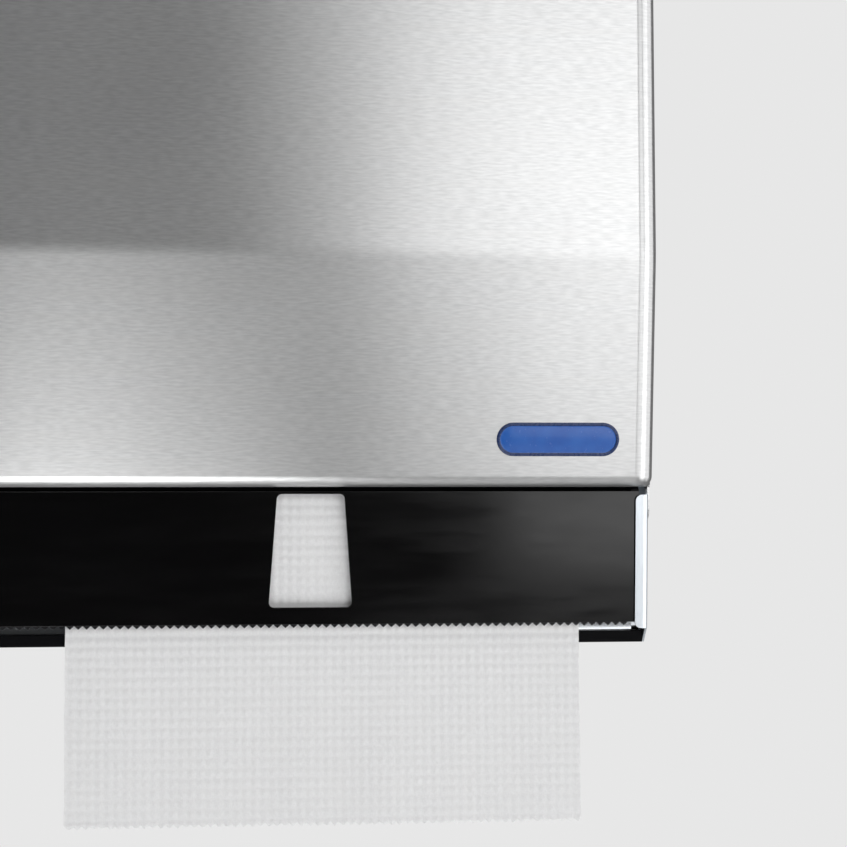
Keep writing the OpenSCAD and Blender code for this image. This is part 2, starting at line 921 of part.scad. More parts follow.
// Two hangers on the rod, joined by a bar in front of the towel
hanger_gap = 2;
hanger_t = 2.4;
module pinch_frame() {
    bar_y = -217;
    bar_t = 2;
    bar_low_z = -95;
    bar_high_z = -88;
    eye_r = 5.5;
    web_half = 4.5;
    reach = hanger_gap + hanger_t;
    color("dimgray")
        difference() {
            union() {
                for (x = [towel_left - reach, towel_right + hanger_gap])
                    along_x(x, x + hanger_t) {
                        translate([rod_y, rod_z]) circle(r = eye_r);
                        translate([pinch_y, nip_z]) circle(r = eye_r);
                        polygon([
                            [rod_y - web_half, rod_z], [rod_y + web_half, rod_z],
                            [pinch_y + web_half, nip_z], [pinch_y - web_half, nip_z]
                        ]);
                        block2d(bar_y, bar_low_z, pinch_y, bar_high_z);
                    }
                block([towel_left - reach, bar_y, bar_low_z],
                      [towel_right + reach, bar_y + bar_t, bar_high_z]);
            }
            translate([0, rod_y, rod_z]) rod_x(-half_w, half_w, rod_r + fit_gap);
            translate([0, pinch_y, nip_z]) rod_x(-half_w, half_w, pinch_shaft_r);
        }
}

module pinch_shaft() {
    reach = hanger_gap + hanger_t + 1;
    color("silver")
        translate([0, pinch_y, nip_z])
            rod_x(towel_left - reach, towel_right + reach, pinch_shaft_r);
}

module pinch_roller() {
    color("ivory")
        translate([0, pinch_y, nip_z])
            difference() {
                rod_x(towel_left + 1, towel_right - 1, pinch_r);
                rod_x(-half_w, half_w, pinch_shaft_r + fit_gap);
            }
}

// Torsion springs on the rod, outside each hanger
module pinch_springs() {
    spring_w = 8;
    color("silver") {
        translate([towel_left - hanger_gap - hanger_t - spring_w - 1.2, rod_y, rod_z])
            coil_x(0, spring_w, 3.9, 5, 7);
        translate([towel_right + hanger_gap + hanger_t + 1.2, rod_y, rod_z])
            coil_x(0, spring_w, 3.9, 5, 7);
    }
}

module rod_clips() {
    color("silver")
        translate([0, rod_y, rod_z])
            for (side = [-1, 1])
                flip(side)
                    ring_clip(panel_in - 1.2, rod_r);
}

// ---------- assembly ----------

back_plate();
side_panel(-1);  // side_panel_left
side_panel(1);  // side_panel_right
tie_bar();
cover();
badge();
hinge_pin(-1);  // hinge_pin_left
hinge_pin(1);  // hinge_pin_right
lock_body();
lock_nut();
lock_plug();
lock_cam();
lock_cam_screw();
lock_keeper();
nose_panel();
nose_screws();
tear_bar();
chute_plate();
chute_lip();
chute_screws();
arm_bracket(-1);  // arm_bracket_left
arm_bracket(1);  // arm_bracket_right
bracket_rivets();
arm_pin(-1);  // arm_pin_left
arm_pin(1);  // arm_pin_right
roll_arm(-1);  // roll_arm_left
roll_arm(1);  // roll_arm_right
arm_spring(-1);  // arm_spring_left
arm_spring(1);  // arm_spring_right
hub_pin(-1);  // hub_pin_left
hub_pin(1);  // hub_pin_right
roll_hub(-1);  // roll_hub_left
roll_hub(1);  // roll_hub_right
towel_roll();
roll_core();
towel_sheet();
feed_shaft();
feed_drum();
feed_tyres();
feed_bushes();
shaft_clips();
pinch_rod();
pinch_frame();
pinch_shaft();
pinch_roller();
pinch_springs();
rod_clips();
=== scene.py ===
import json
import math
import random

import bmesh
import bpy
from mathutils import Matrix, Vector, noise

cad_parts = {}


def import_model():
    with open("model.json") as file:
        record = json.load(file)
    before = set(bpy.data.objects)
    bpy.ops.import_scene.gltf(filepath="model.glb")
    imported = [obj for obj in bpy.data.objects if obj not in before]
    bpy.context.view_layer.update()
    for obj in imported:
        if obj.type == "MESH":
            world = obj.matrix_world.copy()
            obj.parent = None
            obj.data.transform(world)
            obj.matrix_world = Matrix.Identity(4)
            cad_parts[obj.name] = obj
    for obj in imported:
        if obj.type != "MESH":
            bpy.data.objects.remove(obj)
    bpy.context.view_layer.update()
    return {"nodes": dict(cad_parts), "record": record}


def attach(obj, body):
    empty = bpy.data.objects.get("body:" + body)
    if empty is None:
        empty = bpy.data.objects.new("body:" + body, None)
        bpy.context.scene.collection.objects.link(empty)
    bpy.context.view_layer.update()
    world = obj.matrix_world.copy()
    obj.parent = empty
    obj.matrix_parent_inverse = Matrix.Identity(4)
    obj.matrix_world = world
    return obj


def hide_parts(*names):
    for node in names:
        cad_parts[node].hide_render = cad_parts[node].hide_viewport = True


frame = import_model()
RECORD = frame["record"]
SLOTS = {part["node"]: part["material_slot"] for part in RECORD["subparts"]}
BODIES = {node: name for name, nodes in RECORD["behaviour"]["bodies"].items() for node in nodes}


# ---------- sizes in millimetres ----------

# Metres in a millimetre
MM = 0.001

# Cover, as in part.scad
HALF_W = 134
FRONT_Y = -229
REAR_Y = -3
TOP_Z = 200
COVER_BOTTOM_Z = -138.8
CREASE_Z = -49.5
CREASE_RISE = 89.3
LEAN_BACK = 12
LEAN = math.atan(LEAN_BACK / CREASE_RISE)
EDGE_R = 9
SHEET_T = 0.8
HINGE_Y = -200
HINGE_Z = -147
EAR_R = 4.6
PIN_HOLE_R = 2.05
LOCK_Y = -40
LOCK_HOLE_R = 9

# Soft bends of the cover, where the CAD has plain folds
CREASE_R = 45
BOTTOM_R = 4.6
FLANGE_IN = 3.6
COVER_BEVEL = 0.14

# Nose, as in part.scad
NOSE_BOTTOM_Y = -204
NOSE_BOTTOM_Z = -191.9
NOSE_LEAN = math.radians(4.6)
TIP_Z = -193.5
TOOTH_PITCH = 3.175

# Bend that sets the top of the nose back under the cover
JOGGLE_Z = -140.7
JOGGLE_H = 1.9
JOGGLE_BACK = 1.6
JOGGLE_STEPS = 12

# Badge
BADGE_X = 95
BADGE_RISE = 18
BADGE_L = 48
BADGE_W = 13

# Roll and towel, as in part.scad
TOWEL_X = 6
TOWEL_W = 200
ROLL_R = 94
CORE_R = 20.5
ROLL_Y = -118
ROLL_Z = 72
NIP_Y = -203.5
NIP_Z = -112
WEB_BEHIND = 3.6
SHEET_END_Z = -269.5

# Paper: its thickness, and the pitch and height of its embossed pillows
PAPER_T = 0.22
EMBOSS_X = 3.5
EMBOSS_Z = 3.9
EMBOSS_H = 0.24
ROLL_EMBOSS_H = 0.12


# ---------- materials ----------

def grey(value):
    return (value, value, value, 1)


def add_node(tree, kind, inputs=None, **settings):
    """A new node; each of its inputs is given as a value or as another node's output."""
    node = tree.nodes.new(kind)
    for key, value in settings.items():
        setattr(node, key, value)
    for key, value in (inputs or {}).items():
        if isinstance(value, bpy.types.NodeSocket):
            tree.links.new(value, node.inputs[key])
        else:
            node.inputs[key].default_value = value
    return node


class Surface:
    """A node material: a Principled shader and the nodes that feed it."""

    def __init__(self, slot, name=None, **values):
        self.material = bpy.data.materials.new(name or slot)
        self.material.use_nodes = True
        self.slot = slot
        self.tree = self.material.node_tree
        self.shader = self.tree.nodes["Principled BSDF"]
        for socket, value in values.items():
            self.shader.inputs[socket.replace("_", " ")].default_value = value
        self.place = self.add("ShaderNodeTexCoord").outputs["Object"]

    def add(self, kind, inputs=None, **settings):
        return add_node(self.tree, kind, inputs, **settings)

    def scaled(self, scale, at=None):
        """Coordinates multiplied along each axis."""
        node = self.add("ShaderNodeMapping", {"Vector": at or self.place, "Scale": scale})
        return node.outputs["Vector"]

    def noise(self, scale, detail=2.0, rough=0.5, at=None):
        """Noise from 0 to 1, whose grains are about 1 / scale metres along each axis."""
        inputs = {"Vector": self.scaled(scale, at), "Scale": 1.0, "Detail": detail, "Roughness": rough}
        return self.add("ShaderNodeTexNoise", inputs).outputs["Fac"]

    def math(self, operation, a, b=0.0):
        return self.add("ShaderNodeMath", {0: a, 1: b}, operation=operation).outputs[0]

    def remap(self, value, low, high, to_low=0.0, to_high=1.0):
        """The value moved from one range to another, and kept inside it."""
        inputs = {"Value": value, "From Min": low, "From Max": high, "To Min": to_low, "To Max": to_high}
        return self.add("ShaderNodeMapRange", inputs).outputs["Result"]

    def mix(self, factor, a, b, blend="MIX"):
        """Mixes two colours."""
        inputs = {0: factor, 6: a, 7: b}
        return self.add("ShaderNodeMix", inputs, data_type="RGBA", blend_type=blend).outputs[2]

    def bump(self, height, distance, strength):
        """Normals tilted by a height; the distance is in metres."""
        inputs = {"Height": height, "Distance": distance, "Strength": strength}
        return self.add("ShaderNodeBump", inputs).outputs["Normal"]

    def axis(self, name):
        return self.add("ShaderNodeSeparateXYZ", {0: self.place}).outputs[name]

    def to(self, socket, output):
        self.tree.links.new(output, self.shader.inputs[socket])


def stainless():
    """Brushed sheet: fine horizontal grain, laid along the cover's unrolled sheet by its UV map."""
    s = Surface("stainless", Metallic=1.0, Anisotropic=0.91)
    unrolled = s.add("ShaderNodeUVMap", uv_map="sheet").outputs["UV"]
    grain = s.noise((1300, 190, 1), 1.5, 0.5, unrolled)
    bands = s.noise((260, 7, 1), 2.0, 0.6, unrolled)
    smudge = s.noise((22, 18, 1), 4.0, 0.55, unrolled)
    tint = s.mix(s.remap(grain, 0.3, 0.7), (0.558, 0.562, 0.566, 1), (0.680, 0.684, 0.686, 1))
    s.to("Base Color", s.mix(s.remap(bands, 0.3, 0.7, 0.0, 0.3), tint, (0.625, 0.622, 0.614, 1)))
    s.to("Roughness", s.remap(smudge, 0.3, 0.7, 0.275, 0.285))
    s.to("Normal", s.bump(grain, 0.000004, 0.3))
    s.to("Tangent", s.add("ShaderNodeTangent", direction_type="UV_MAP", uv_map="sheet").outputs[0])
    return s


def cabinet_steel():
    """Bright satin sheet: a fine upright grain, faint clouds and a cool cast."""
    s = Surface("cabinet_steel", Metallic=1.0)
    grain = s.noise((1100, 1100, 110), 1.5, 0.5)
    cloud = s.noise((14, 14, 14), 3.0, 0.5)
    tint = s.mix(s.remap(cloud, 0.3, 0.7), (0.71, 0.76, 0.81, 1), (0.77, 0.81, 0.85, 1))
    s.to("Base Color", s.mix(s.remap(grain, 0.3, 0.7, 0.0, 0.16), tint, (0.40, 0.42, 0.44, 1)))
    s.to("Roughness", s.remap(grain, 0.3, 0.7, 0.28, 0.31))
    s.to("Normal", s.bump(grain, 0.00001, 0.15))
    return s


def chute_steel():
    """Bright rolled sheet of the chute: smoother than the cabinet's."""
    s = Surface("cabinet_steel", "chute_steel", Metallic=1.0)
    rolled = s.noise((60, 900, 900), 2.0)
    s.to("Base Color", s.mix(s.remap(rolled, 0.3, 0.7), (0.68, 0.71, 0.75, 1), (0.76, 0.79, 0.82, 1)))
    s.to("Roughness", s.remap(rolled, 0.3, 0.7, 0.09, 0.14))
    return s


def zinc_steel():
    """Zinc plate: pale spangles with a faint yellow-blue cast."""
    s = Surface("zinc_steel", Metallic=1.0)
    cells = s.add("ShaderNodeTexVoronoi", {"Vector": s.scaled((260, 260, 260)), "Scale": 1.0})
    cast = s.noise((40, 40, 40), 3.0)
    colour = s.mix(s.remap(cast, 0.35, 0.65), (0.55, 0.57, 0.60, 1), (0.63, 0.61, 0.55, 1))
    s.to("Base Color", s.mix(0.18, colour, cells.outputs["Color"], "OVERLAY"))
    s.to("Roughness", s.remap(cells.outputs["Distance"], 0.0, 0.8, 0.34, 0.48))
    s.to("Normal", s.bump(s.noise((1500, 1500, 1500), 2.0), 0.00002, 0.3))
    return s


def turned_steel(slot, light, dark, rough):
    """Drawn or turned metal: fine rings round the X axis, and darker patches."""
    s = Surface(slot, Metallic=1.0)
    rings = s.noise((2600, 130, 130), 2.0)
    patches = s.noise((90, 90, 90), 3.0)
    s.to("Base Color", s.mix(s.remap(patches, 0.35, 0.7), light, dark))
    s.to("Roughness", s.remap(rings, 0.3, 0.7, rough, rough + 0.12))
    s.to("Normal", s.bump(rings, 0.00002, 0.35))
    return s


def tear_steel():
    """Black oxide; the points of the teeth are painted lighter, partly bare worn steel and partly a painted
    highlight of their lit edges.
    """
    s = Surface("tear_steel", Metallic=1.0)
    height = s.axis("Z")
    ragged = s.math("ADD", height, s.math("MULTIPLY", s.noise((900, 900, 900), 2.0), 0.0006))
    # Painted highlight: the points of the teeth are lightened in colour for their lit edges, and for bare
    # worn steel
    worn_and_highlit_points = s.remap(ragged, (TIP_Z + 0.75) * MM, (TIP_Z + 0.35) * MM, 0.0, 0.8)
    mottled = s.mix(s.noise((300, 300, 300), 3.0), (0.018, 0.018, 0.020, 1), (0.045, 0.044, 0.046, 1))
    s.to("Base Color", s.mix(worn_and_highlit_points, mottled, (0.20, 0.20, 0.21, 1)))
    s.to("Roughness", s.remap(s.noise((800, 800, 800), 2.0), 0.3, 0.7, 0.30, 0.46))
    return s


def black_gloss():
    """Glossy black moulding: a slow ripple, fine dust and wiping marks."""
    s = Surface("black_gloss", IOR=1.5)
    dust = s.noise((5200, 5200, 5200), 2.0)
    wiped = s.noise((26, 26, 160), 4.0, 0.6)
    speck = s.remap(dust, 0.70, 0.78, 0.0, 0.2)
    s.to("Base Color", s.mix(speck, (0.0016, 0.0015, 0.0017, 1), (0.025, 0.024, 0.023, 1)))
    s.to("Roughness", s.remap(wiped, 0.3, 0.7, 0.10, 0.16))
    s.to("Normal", s.bump(s.noise((60, 60, 60), 2.0), 0.0001, 0.12))
    return s


def black_satin():
    """Duller black moulding with a spark-eroded texture and scuffed grey patches."""
    s = Surface("black_satin", IOR=1.35, Specular_IOR_Level=0.12)
    scuff = s.remap(s.noise((60, 200, 400), 4.0, 0.65), 0.55, 0.75, 0.0, 0.6)
    fine = s.noise((2600, 2600, 2600), 2.0)
    s.to("Base Color", s.mix(scuff, (0.0018, 0.0018, 0.0026, 1), (0.008, 0.008, 0.0095, 1)))
    s.to("Roughness", s.remap(fine, 0.3, 0.7, 0.38, 0.52))
    s.to("Normal", s.bump(fine, 0.00003, 0.4))
    return s


def moulded(slot, pale, dark, rough):
    """Moulded nylon: a fine spark-eroded texture, with slow shade changes."""
    s = Surface(slot, IOR=1.52)
    shade = s.noise((35, 35, 35), 3.0)
    fine = s.noise((2400, 2400, 2400), 2.0)
    s.to("Base Color", s.mix(s.remap(shade, 0.3, 0.7), pale, dark))
    s.to("Roughness", s.remap(fine, 0.3, 0.7, rough - 0.06, rough + 0.08))
    s.to("Normal", s.bump(fine, 0.00003, 0.5))
    return s


def rubber():
    """Ground rubber: grinding rings round the roller, and grey dust from the paper."""
    s = Surface("rubber", IOR=1.5)
    rings = s.noise((1800, 260, 260), 3.0)
    dust = s.remap(s.noise((120, 120, 120), 5.0, 0.7), 0.52, 0.72, 0.0, 0.5)
    s.to("Base Color", s.mix(dust, (0.022, 0.022, 0.024, 1), (0.16, 0.16, 0.155, 1)))
    s.to("Roughness", s.remap(rings, 0.3, 0.7, 0.68, 0.88))
    s.to("Normal", s.bump(rings, 0.00008, 0.6))
    return s


def badge_blue():
    """Glossy enamel, with slow changes of its blue."""
    s = Surface("badge_blue", IOR=1.55, Coat_Weight=0.2, Coat_Roughness=0.1)
    depth = s.remap(s.noise((160, 160, 160), 3.0), 0.3, 0.7)
    s.to("Base Color", s.mix(depth, (0.006, 0.085, 0.400, 1), (0.014, 0.118, 0.470, 1)))
    s.to("Roughness", s.remap(s.noise((700, 700, 700), 2.0), 0.3, 0.7, 0.18, 0.28))
    s.to("Normal", s.bump(s.noise((420, 420, 420), 1.0), 0.00004, 0.3))
    return s


def badge_rim():
    """Darker enamel of the badge's raised rim."""
    s = Surface("badge_blue", "badge_rim", IOR=1.55)
    shade = s.noise((260, 260, 260), 3.0)
    s.to("Base Color", s.mix(shade, (0.004, 0.018, 0.085, 1), (0.008, 0.032, 0.130, 1)))
    s.to("Roughness", s.remap(s.noise((900, 900, 900), 2.0), 0.3, 0.7, 0.22, 0.34))
    return s


def towel_paper():
    """Soft towelling paper: crossed fibres, faint clouds and a soft nap."""
    s = Surface("towel_paper", IOR=1.4, Sheen_Weight=0.15, Sheen_Roughness=0.6)
    fibre = s.noise((900, 2600, 1700), 4.0, 0.65)
    across = s.noise((2600, 900, 600), 4.0, 0.65)
    both = s.math("ADD", s.math("MULTIPLY", fibre, 0.5), s.math("MULTIPLY", across, 0.5))
    cloud = s.noise((60, 60, 60), 3.0)
    shade = s.mix(s.remap(both, 0.38, 0.62), (0.800, 0.800, 0.806, 1), (0.880, 0.882, 0.886, 1))
    s.to("Base Color", s.mix(s.remap(cloud, 0.35, 0.65, 0.0, 0.3), shade, (0.852, 0.850, 0.847, 1)))
    s.to("Roughness", s.remap(both, 0.38, 0.62, 0.86, 0.98))
    s.to("Normal", s.bump(both, 0.00012, 0.55))
    return s


def roll_ends():
    """The cut ends of the roll: the edges of the wound layers."""
    s = Surface("towel_paper", "roll_ends", Roughness=0.95)
    y = s.math("ADD", s.axis("Y"), -ROLL_Y * MM)
    z = s.math("ADD", s.axis("Z"), -ROLL_Z * MM)
    out = s.math("SQRT", s.math("ADD", s.math("MULTIPLY", y, y), s.math("MULTIPLY", z, z)))
    outward = s.add("ShaderNodeCombineXYZ", {0: out}).outputs[0]
    rings = s.noise((1400, 1, 1), 3.0, 0.7, outward)
    s.to("Base Color", s.mix(s.remap(rings, 0.35, 0.65), (0.66, 0.66, 0.665, 1), (0.87, 0.87, 0.87, 1)))
    s.to("Normal", s.bump(rings, 0.0004, 0.6))
    return s


def core_board():
    """Spiral-wound board: slanting seams and grey-brown fibres."""
    s = Surface("core_board", Roughness=0.9)
    seam = s.add("ShaderNodeTexWave", {"Vector": s.scaled((34, 34, 34)), "Scale": 1.0, "Distortion": 0.4},
                 wave_type="BANDS", bands_direction="DIAGONAL")
    fibre = s.noise((350, 1400, 1400), 4.0, 0.7)
    board = s.mix(s.remap(fibre, 0.35, 0.65), (0.36, 0.27, 0.18, 1), (0.52, 0.41, 0.29, 1))
    joint = s.remap(seam.outputs["Fac"], 0.0, 0.12, 0.5, 0.0)
    s.to("Base Color", s.mix(joint, board, (0.24, 0.17, 0.11, 1)))
    s.to("Normal", s.bump(fibre, 0.00015, 0.5))
    return s


SURFACES = {made.slot: made for made in [
    stainless(),
    cabinet_steel(),
    zinc_steel(),
    turned_steel("spring_steel", (0.48, 0.49, 0.51, 1), (0.36, 0.36, 0.37, 1), 0.26),
    turned_steel("bright_steel", (0.70, 0.71, 0.72, 1), (0.60, 0.60, 0.61, 1), 0.14),
    turned_steel("brass", (0.72, 0.55, 0.24, 1), (0.55, 0.40, 0.17, 1), 0.24),
    tear_steel(),
    black_gloss(),
    black_satin(),
    moulded("white_nylon", (0.80, 0.79, 0.75, 1), (0.74, 0.73, 0.68, 1), 0.42),
    moulded("grey_nylon", (0.115, 0.120, 0.128, 1), (0.085, 0.088, 0.095, 1), 0.48),
    rubber(),
    badge_blue(),
    towel_paper(),
    core_board(),
]}
BADGE_RIM = badge_rim()
ROLL_ENDS = roll_ends()

# Surfaces of nodes that look unlike the others in their slot
OWN_SURFACES = {"chute_plate": chute_steel()}


# ---------- mesh helpers ----------

def new_piece(name, points, faces, surface, uvs=None):
    """An object from points in millimetres; uvs are one pair for each point."""
    mesh = bpy.data.meshes.new(name)
    mesh.from_pydata([Vector(point) * MM for point in points], [], faces)
    if uvs:
        layer = mesh.uv_layers.new(name="sheet")
        for loop in mesh.loops:
            layer.data[loop.index].uv = uvs[loop.vertex_index]
    mesh.materials.append(surface.material)
    piece = bpy.data.objects.new(name, mesh)
    bpy.context.scene.collection.objects.link(piece)
    return piece


def apply_modifiers(piece, sharp=35):
    """Turns the piece's modifiers into mesh and shades it smooth up to an angle in degrees."""
    seen = piece.evaluated_get(bpy.context.evaluated_depsgraph_get())
    mesh = bpy.data.meshes.new_from_object(seen)
    piece.modifiers.clear()
    piece.data = mesh
    mesh.shade_smooth()
    mesh.set_sharp_from_angle(angle=math.radians(sharp))


def modify(piece, kind, **settings):
    """Adds a modifier."""
    modifier = piece.modifiers.new(kind.title(), kind)
    for key, value in settings.items():
        setattr(modifier, key, value)


def weld(piece, distance=0.004):
    """Joins points closer than a distance in millimetres and drops what has no area."""
    shape = bmesh.new()
    shape.from_mesh(piece.data)
    bmesh.ops.remove_doubles(shape, verts=shape.verts, dist=distance * MM)
    bmesh.ops.dissolve_degenerate(shape, edges=shape.edges, dist=distance * MM)
    shape.to_mesh(piece.data)
    shape.free()


def grid_faces(rows, columns, flip=False):
    """Four-sided faces between the points of a grid."""
    faces = []
    for row in range(rows - 1):
        for column in range(columns - 1):
            a = row * columns + column
            face = [a, a + 1, a + columns + 1, a + columns]
            faces.append(face[::-1] if flip else face)
    return faces


def filled(loops):
    """Points and triangles of the flat area inside the first loop and outside the others."""
    shape = bmesh.new()
    points = [point for loop in loops for point in loop]
    edges = []
    for loop in loops:
        verts = [shape.verts.new(point) for point in loop]
        edges += [shape.edges.new((verts[i - 1], verts[i])) for i in range(len(verts))]
    shape.verts.index_update()
    bmesh.ops.triangle_fill(shape, use_beauty=True, edges=edges)
    faces = [[vert.index for vert in face.verts] for face in shape.faces]
    shape.free()
    return points, faces


def circle(radius, count):
    """Points round the origin, as pairs."""
    turns = [2 * math.pi * i / count for i in range(count)]
    return [(radius * math.cos(turn), radius * math.sin(turn)) for turn in turns]


def facing(points, face, direction):
    """The face, turned so that its normal agrees with a direction."""
    a, b, c = (Vector(points[i]) for i in face[:3])
    return face if (b - a).cross(c - a).dot(Vector(direction)) > 0 else face[::-1]


def smooth_step(value):
    """From 0 to 1 with a soft start and end."""
    value = min(1.0, max(0.0, value))
    return value * value * (3 - 2 * value)


# ---------- the cover ----------

# Points of a row: along the side, on to the corner (as shares of that way), round it, along the front
SIDE_YS = [REAR_Y, -30, -60, -90, -120, -150, -175, -190, HINGE_Y + EAR_R, HINGE_Y, HINGE_Y - EAR_R]
SIDE_STEPS = [0.25, 0.5, 0.75]
BEND_STEPS = 12
FRONT_STEPS = 12

# Rows: heights of those on the flat parts, and how many there are round the crease and each edge
LEANING_HEIGHTS = [-128, -115, -100, -85, -70, -60]
UPRIGHT_HEIGHTS = [-35, -15, 10, 40, 80, 120, 160, 180]
CREASE_STEPS = 8
EDGE_STEPS = 10

# Share of the way to the corner where the bottom edge starts to turn in
FADE_START = 0.4

# Shift along the unrolled sheet that gives the ears a grain of their own
EAR_GRAIN = 5


def cover_line(z):
    """Y of the cover's front at a height, with a soft bend at the crease."""
    reach = CREASE_R * math.tan(LEAN / 2)
    if z >= CREASE_Z + reach:
        return FRONT_Y
    leaning = FRONT_Y + (CREASE_Z - z) * math.tan(LEAN)
    if z <= CREASE_Z - reach * math.cos(LEAN):
        return leaning
    down = CREASE_Z + reach - z
    return FRONT_Y + CREASE_R - math.sqrt(CREASE_R ** 2 - down ** 2)


def cover_rows():
    """Rows of the cover from the inner edge of its bottom flange to its top: (z, inset)."""
    centre_z = COVER_BOTTOM_Z + BOTTOM_R
    centre_y = FRONT_Y + (BOTTOM_R - (centre_z - CREASE_Z) * math.sin(LEAN)) / math.cos(LEAN)
    rows = []
    for y in (centre_y + FLANGE_IN, centre_y + FLANGE_IN / 2):
        rows.append((COVER_BOTTOM_Z, y - cover_line(COVER_BOTTOM_Z)))
    for i in range(EDGE_STEPS + 1):
        turn = math.pi / 2 + (LEAN - math.pi / 2) * i / EDGE_STEPS
        z = centre_z - BOTTOM_R * math.sin(turn)
        rows.append((z, centre_y - BOTTOM_R * math.cos(turn) - cover_line(z)))
    reach = CREASE_R * math.tan(LEAN / 2)
    creased = [CREASE_Z + reach * (2 * i / CREASE_STEPS - 1) for i in range(CREASE_STEPS + 1)]
    rows += [(z, 0.0) for z in LEANING_HEIGHTS + creased + UPRIGHT_HEIGHTS]
    for i in range(EDGE_STEPS + 1):
        turn = math.pi / 2 * i / EDGE_STEPS
        rows.append((TOP_Z - EDGE_R + EDGE_R * math.sin(turn), EDGE_R * (1 - math.cos(turn))))
    return rows


def cover_row_points(z, inset, whole):
    """One row of the right half, from the rear to the middle of the front.

    A whole row is inset all along, but a bottom row only along the front: it fades out on the side.
    """
    line = cover_line(z)
    corner_x = HALF_W - EDGE_R
    corner_y = line + EDGE_R
    points = []
    nearest = SIDE_YS[-1]
    for y in SIDE_YS:
        points.append((HALF_W - (inset if whole else 0.0), y, z))
    for step in SIDE_STEPS:
        y = nearest + (corner_y - nearest) * step
        fade = 1.0 if whole else smooth_step((step - FADE_START) / (1 - FADE_START))
        points.append((HALF_W - inset * fade, y, z))
    for i in range(BEND_STEPS + 1):
        turn = math.pi / 2 * i / BEND_STEPS
        radius = EDGE_R - inset
        points.append((corner_x + radius * math.cos(turn), corner_y - radius * math.sin(turn), z))
    for i in range(1, FRONT_STEPS + 1):
        points.append((corner_x * (1 - i / FRONT_STEPS), line + inset, z))
    return points


def sheet_distances():
    """Distance along the unrolled sheet of each point of a row, from the middle of the front."""
    corner = HALF_W - EDGE_R
    bend = EDGE_R * math.pi / 2
    side = [corner + bend + (y - (FRONT_Y + EDGE_R)) for y in SIDE_YS]
    nearest = side[-1]
    side += [nearest + (corner + bend - nearest) * step for step in SIDE_STEPS]
    bends = [corner + bend * (1 - i / BEND_STEPS) for i in range(BEND_STEPS + 1)]
    front = [corner * (1 - i / FRONT_STEPS) for i in range(1, FRONT_STEPS + 1)]
    return side + bends + front


def cover_ear(side):
    """The ear below the side's edge that turns on the hinge pin: points, faces and UVs."""
    x = side * HALF_W
    steps = 16
    outline = [(x, y, COVER_BOTTOM_Z) for y in (HINGE_Y + EAR_R, HINGE_Y, HINGE_Y - EAR_R)]
    for i in range(steps + 1):
        turn = math.pi * i / steps
        outline.append((x, HINGE_Y - EAR_R * math.cos(turn), HINGE_Z - EAR_R * math.sin(turn)))
    hole = [(x, HINGE_Y + y, HINGE_Z + z) for y, z in circle(PIN_HOLE_R, 24)]
    points, faces = filled([outline, hole])
    start = HALF_W + EAR_GRAIN - (FRONT_Y + EDGE_R)
    uvs = [(z * MM, side * (start + y) * MM) for _, y, z in points]
    return points, [facing(points, face, (side, 0, 0)) for face in faces], uvs


def cover_top(height):
    """The flat top with its lock hole: points, faces and UVs that carry on from the front's height."""
    flat_x = HALF_W - EDGE_R
    flat_y = FRONT_Y + EDGE_R
    edge = [(-flat_x, REAR_Y, TOP_Z), (flat_x, REAR_Y, TOP_Z)]
    edge += [(flat_x, y, TOP_Z) for y in SIDE_YS[1:]]
    edge += [(flat_x, SIDE_YS[-1] + (flat_y - SIDE_YS[-1]) * step, TOP_Z) for step in SIDE_STEPS]
    edge += [(flat_x * (1 - i / FRONT_STEPS), flat_y, TOP_Z) for i in range(2 * FRONT_STEPS + 1)]
    edge += [(-x, y, z) for x, y, z in edge[len(SIDE_YS) + len(SIDE_STEPS):1:-1]]
    hole = [(x, LOCK_Y + y, TOP_Z) for x, y in circle(LOCK_HOLE_R, 40)]
    points, faces = filled([edge, hole])
    uvs = [((height + y - flat_y) * MM, x * MM) for x, y, _ in points]
    return points, [facing(points, face, (0, 0, 1)) for face in faces], uvs


def cover():
    """The cover's sheet: its front and sides in rows, then its flat top and its two ears."""
    rows = cover_rows()
    distances = sheet_distances()
    along = distances + [-value for value in distances[-2::-1]]
    points, uvs = [], []
    height = 0.0
    last = None
    for z, inset in rows:
        right = cover_row_points(z, inset, z > 0)
        front = Vector(right[-1])
        height += (front - last).length if last else 0.0
        last = front
        points += right + [(-x, y, z) for x, y, z in right[-2::-1]]
        uvs += [(height * MM, value * MM) for value in along]
    faces = grid_faces(len(rows), len(along), flip=True)
    for more, more_faces, more_uvs in (cover_top(height), cover_ear(-1), cover_ear(1)):
        start = len(points)
        points += more
        faces += [[start + index for index in face] for face in more_faces]
        uvs += more_uvs
    piece = new_piece("cover_sheet", points, faces, SURFACES["stainless"], uvs)
    weld(piece)
    modify(piece, "SOLIDIFY", thickness=SHEET_T * MM, offset=-1, use_even_offset=True)
    modify(piece, "BEVEL", width=COVER_BEVEL * MM, segments=2, limit_method="ANGLE",
           angle_limit=math.radians(55))
    apply_modifiers(piece)
    modify(piece, "WEIGHTED_NORMAL", weight=100, keep_sharp=True)
    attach(piece, "cover")
    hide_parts("cover")


# ---------- the badge ----------

# From the edge to the middle: distance in from the edge, height over the cover
BADGE_LAYERS = [
    (0.0, 0.0), (0.0, 0.38), (0.08, 0.52), (0.28, 0.62), (0.75, 0.66), (1.05, 0.60), (1.15, 0.46),
    (1.30, 0.42), (1.9, 0.46), (3.0, 0.52), (4.4, 0.57), (5.6, 0.59),
]
BADGE_RIM_LAYERS = 7


def stadium(length, width, steps=20):
    """Outline of a bar with round ends: (x, z)."""
    radius = width / 2
    reach = length / 2 - radius
    points = []
    for side, first in ((1, -90), (-1, 90)):
        for i in range(steps + 1):
            turn = math.radians(first + 180 * i / steps)
            points.append((side * reach + radius * math.cos(turn), radius * math.sin(turn)))
    return points


